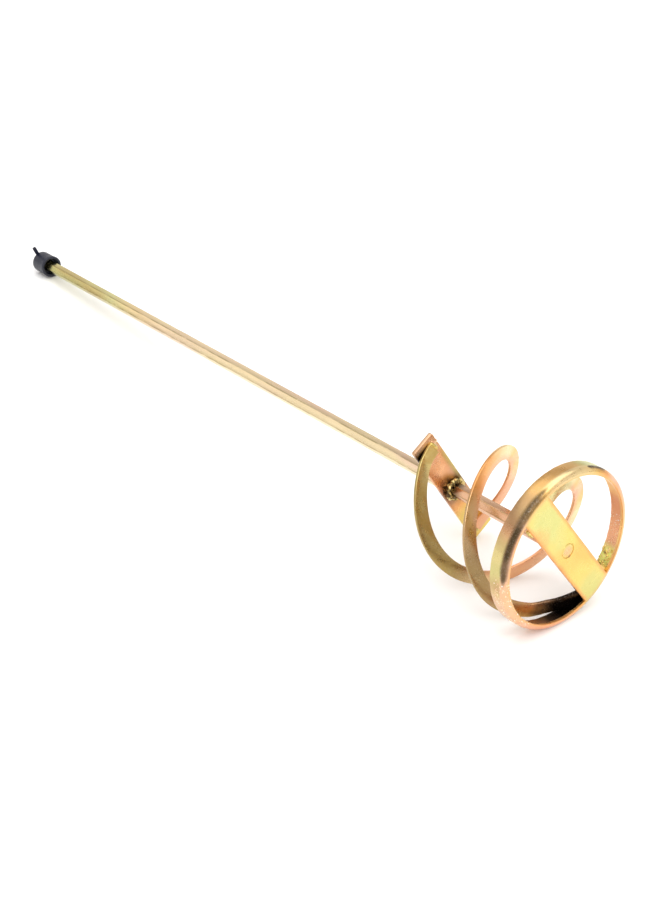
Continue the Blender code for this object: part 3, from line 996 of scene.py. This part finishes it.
def throw_spatter(name, bm, finish, **sizes):
    """Droplets over a patch of faces, as one piece that stands for no CAD node."""
    mesh = bpy.data.meshes.new(name + "_patch")
    bm.to_mesh(mesh)
    bm.free()
    patch = bpy.data.objects.new(name + "_patch", mesh)
    bpy.context.scene.collection.objects.link(patch)
    drops = grow(name, patch, droplets, finish, **sizes)
    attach(drops, "root")


def rim_faces(low, high, outside):
    """Faces of the rim between two angles in degrees, on its outside or its inside."""

    def keep(spot):
        out = math.hypot(spot.x, spot.y)
        if not low < math.degrees(math.atan2(spot.y, spot.x)) < high:
            return False
        if outside:
            return out > spatter_inner_r and spot.z < spatter_height
        return out < ring_r - ring_sheet * 0.6 and spot.z > ring_sheet

    return faces_where(ring, keep)


droplets = spatter_tree()
spatter_inner_r = ring_r - 0.0058
spatter_height = 0.0060
throw_spatter(
    "spatter_ring_front", rim_faces(38, 90, outside=True), drop_finish,
    per_square_metre=300000.0, smallest=0.00012, largest=0.00045, seed=3.0,
)
throw_spatter(
    "spatter_ring_inside", rim_faces(-92, -62, outside=False), drop_finish,
    per_square_metre=260000.0, smallest=0.00015, largest=0.00042, seed=5.0,
)
throw_spatter(
    "spatter_ring_bar", rim_faces(-64, -44, outside=False), weld_finish,
    per_square_metre=420000.0, smallest=0.0003, largest=0.0009, seed=8.0,
)
throw_spatter(
    "spatter_strip_a", under_bar(math.radians(155), 0.0395, 0.0030), drop_finish,
    per_square_metre=1500000.0, smallest=0.0002, largest=0.0007, seed=2.0,
)
throw_spatter(
    "spatter_shaft_weld", under_bar(0.0, 0.0, 0.0055), weld_finish,
    per_square_metre=700000.0, smallest=0.0002, largest=0.0008, seed=4.0,
)


# Plug weld: weld metal that fills the hole round the tenon, ground almost flush with the base bar's face
# and plated with it. Its face keeps a low ridge, and a groove over the edge of the tenon.
plug_outer_r = tenon_hole_r - 0.00005
plug_rise = 0.00012
plug_edge = 0.0004
plug_groove = 0.0001


def plug_mesh():
    bm = bmesh.new()
    steps = 64
    profile = [(plug_outer_r, ring_sheet), (plug_outer_r, plug_edge / 2)]
    profile += [(plug_outer_r - plug_edge, -plug_rise * 0.2)]
    profile += [(0.0036, -plug_rise), (0.0031, -plug_rise * 0.6)]
    profile += [(tenon_r - plug_groove, plug_groove), (0.0024, -plug_rise * 0.5)]
    profile += [(0.0016, -plug_rise), (0.0007, -plug_rise * 0.7)]
    rows = []
    for k, (radius, height) in enumerate(profile):
        row = []
        for i in range(steps):
            turn = 2 * math.pi * i / steps
            uneven = ripple(turn, 0.7 + 0.2 * k) * 0.00006 if k > 1 else 0
            row.append(bm.verts.new((radius * math.cos(turn), radius * math.sin(turn), height + uneven)))
        rows.append(row)
    quads(bm, rows, closed=True)
    bm.faces.new(rows[0])
    bm.faces.new(rows[-1])
    bmesh.ops.recalc_face_normals(bm, faces=bm.faces)
    return bm


plug = tool_mesh("plug_weld", plug_mesh(), ring_finish, smooth=60)
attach(plug, "root")
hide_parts("weld_shaft_base")


# Shank cap: a soft black plastic cup pushed over the free end of the shaft, with a pull tab at its
# closed end and a lip round its open mouth. It is moulded in one piece and pulls off along the shaft.
cap_r = 0.0082
cap_lip_r = 0.0085
cap_lip = 0.0024
cap_length = 0.0165
cap_wall = 0.0016
cap_recess = 0.0050
cap_end = shaft_end + piece_gap + 0.0020
cap_start = cap_end - cap_length
cap_edge_r = 0.0009
cap_dome = 0.0002
cap_tab_length = 0.0072
cap_tab_width = 0.0028
cap_tab_t = 0.0016
cap_tab_droop = 0.0004
cap_tab_roll = math.radians(156)
blue_black = (0.008, 0.010, 0.024)
scuff_gray = (0.10, 0.11, 0.14)


def cap_mesh():
    bm = bmesh.new()
    steps = 96
    mouth_r = cap_r - cap_wall
    bore_r = hex_corner_r + piece_gap
    bore_end = shaft_end + piece_gap - cap_start
    lip_round = 0.0004
    profile = [(bore_r, bore_end), (bore_r, cap_recess), (mouth_r - lip_round, cap_recess)]
    profile += [(mouth_r, cap_recess - lip_round)]
    profile += arc((mouth_r + lip_round, lip_round), lip_round, math.pi, 1.5 * math.pi, 4)
    profile += arc((cap_lip_r - lip_round, lip_round), lip_round, -math.pi / 2, 0, 4)
    profile += arc((cap_lip_r - lip_round, cap_lip - lip_round), lip_round, 0, math.pi / 3, 3)
    profile += [(cap_r, cap_lip + 0.0003), (cap_r, cap_length * 0.5)]
    profile += arc((cap_r - cap_edge_r, cap_length - cap_edge_r), cap_edge_r, 0, math.pi / 2, 6)
    profile += [(cap_r * 0.5, cap_length - cap_dome / 2), (cap_r * 0.12, cap_length - cap_dome)]
    rows = []
    turns = [2 * math.pi * i / steps for i in range(steps)]
    for radius, height in profile:
        rows.append([bm.verts.new((radius * math.cos(t), radius * math.sin(t), height)) for t in turns])
    quads(bm, rows, closed=True)
    bm.faces.new(rows[0])
    bm.faces.new(rows[-1])
    tab = []
    tab_steps = 8
    tab_root = cap_wall * 0.6
    for k in range(tab_steps + 1):
        share = k / tab_steps
        reach = cap_r - tab_root + (cap_tab_length + tab_root) * share
        half = cap_tab_width / 2 * (1 if k < tab_steps else 0.86)
        thick = cap_tab_t / 2 * (1 if k < tab_steps else 0.85)
        middle = cap_length - cap_edge_r - cap_tab_t / 2 - cap_tab_droop * share * share
        corner = min(half, thick) * 0.3
        ring = rounded_bar(2 * half, 2 * thick, corner)
        tab.append([bm.verts.new((reach, y, middle + z)) for y, z in ring])
    quads(bm, tab, closed=True)
    bm.faces.new(tab[0])
    bm.faces.new(tab[-1])
    tab_verts = [v for row in tab for v in row]
    bmesh.ops.transform(bm, matrix=Matrix.Rotation(cap_tab_roll, 4, "Z"), verts=tab_verts)
    bmesh.ops.recalc_face_normals(bm, faces=bm.faces)
    bmesh.ops.translate(bm, vec=(0, 0, cap_start), verts=bm.verts)
    return bm


def black_plastic():
    """Soft moulded polyethylene: blue-black, a fine matt grain, and faint handling scuffs."""
    material, signal = start_material("cap_plastic")
    place = tool_vector(signal)
    grain = place.clouds(3000.0, detail=3.0)
    scuffs = place.clouds(500.0, detail=4.0, rough=0.7)
    black = signal.node("ShaderNodeRGB")
    black.socket.default_value = (*blue_black, 1.0)
    color = black.blend(scuff_gray, scuffs.spread(0.55, 0.8, 0.0, 0.30))
    rough = scuffs.spread(0.35, 0.7, 0.34, 0.55)
    bump = signal.node("ShaderNodeBump", {"Strength": 0.25, "Distance": 0.0001, "Height": grain + scuffs})
    surface = {"Base Color": color, "Roughness": rough, "Normal": bump, "Specular IOR Level": 0.45}
    return end_material(material, signal.node("ShaderNodeBsdfPrincipled", surface))


cap = tool_mesh("black_cap", cap_mesh(), black_plastic(), smooth=40)
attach(cap, "cap")
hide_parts("shank_cap")


# The studio: a pale floor under a soft overhead light, with darker surroundings near the horizon that
# the bends of the metal pick up. The camera looks down on the ring from beyond its front.
floor_size = 12.0
floor_mesh = bpy.data.meshes.new("floor")
half = floor_size / 2
corners = [(-half, -half, 0), (half, -half, 0), (half, half, 0), (-half, half, 0)]
floor_mesh.from_pydata(corners, [], [(0, 1, 2, 3)])
floor = bpy.data.objects.new("floor", floor_mesh)
bpy.context.scene.collection.objects.link(floor)
paper, paper_signal = start_material("studio_paper")
paper_look = {"Base Color": (0.92, 0.92, 0.92, 1.0), "Roughness": 0.9, "Specular IOR Level": 0.1}
floor_mesh.materials.append(end_material(paper, paper_signal.node("ShaderNodeBsdfPrincipled", paper_look)))

world = bpy.data.worlds.new("studio")
world.use_nodes = True
world.node_tree.nodes.clear()
sky = Signal(world.node_tree)
direction = sky.node("ShaderNodeTexCoord", out="Generated")
height = sky.node("ShaderNodeSeparateXYZ", {"Vector": direction}, out="Z")
glow = sky.node(
    "ShaderNodeValToRGB", {"Fac": height},
    stops=[
        (0.0, (0.26, 0.24, 0.21)), (0.04, (0.32, 0.29, 0.26)), (0.11, (1.2, 1.18, 1.15)),
        (0.35, (1.0, 0.96, 0.92)), (0.55, (0.48, 0.44, 0.40)), (0.9, (0.9, 0.9, 0.9)),
    ],
)
backdrop = sky.node("ShaderNodeBackground", {"Color": glow, "Strength": 1.0})
ending = world.node_tree.nodes.new("ShaderNodeOutputWorld")
world.node_tree.links.new(backdrop.socket, ending.inputs["Surface"])
bpy.context.scene.world = world


def softbox(name, place, aim, size, power):
    """A large square area light aimed at a point."""
    light = bpy.data.lights.new(name, "AREA")
    light.shape = "SQUARE"
    light.size = size
    light.energy = power
    lamp = bpy.data.objects.new(name, light)
    bpy.context.scene.collection.objects.link(lamp)
    lamp.location = place
    lamp.rotation_euler = (Vector(aim) - Vector(place)).to_track_quat("-Z", "Y").to_euler()


softbox("overhead", place=(-0.2, 0.3, 1.9), aim=(0, 0, 0), size=4.0, power=53)
softbox("front_fill", place=(-1.6, 0.2, 1.4), aim=(-0.2, 0, 0), size=1.2, power=11)

camera_place = Vector((-0.73728, 0.54784, 0.56487))
camera_right = Vector((-0.63451, -0.77284, 0.01070))
camera_forward = Vector((0.64567, -0.53761, -0.54230))
camera_data = bpy.data.cameras.new("camera")
camera_data.lens = 61.93
camera_data.sensor_width = 36
camera_data.clip_start = 0.01
camera = bpy.data.objects.new("camera", camera_data)
bpy.context.scene.collection.objects.link(camera)
camera_up = camera_right.cross(camera_forward).normalized()
axes = Matrix((camera_right, camera_up, -camera_forward)).transposed().to_4x4()
camera.matrix_world = Matrix.Translation(camera_place) @ axes
bpy.context.scene.camera = camera
bpy.context.scene.view_settings.view_transform = "Standard"
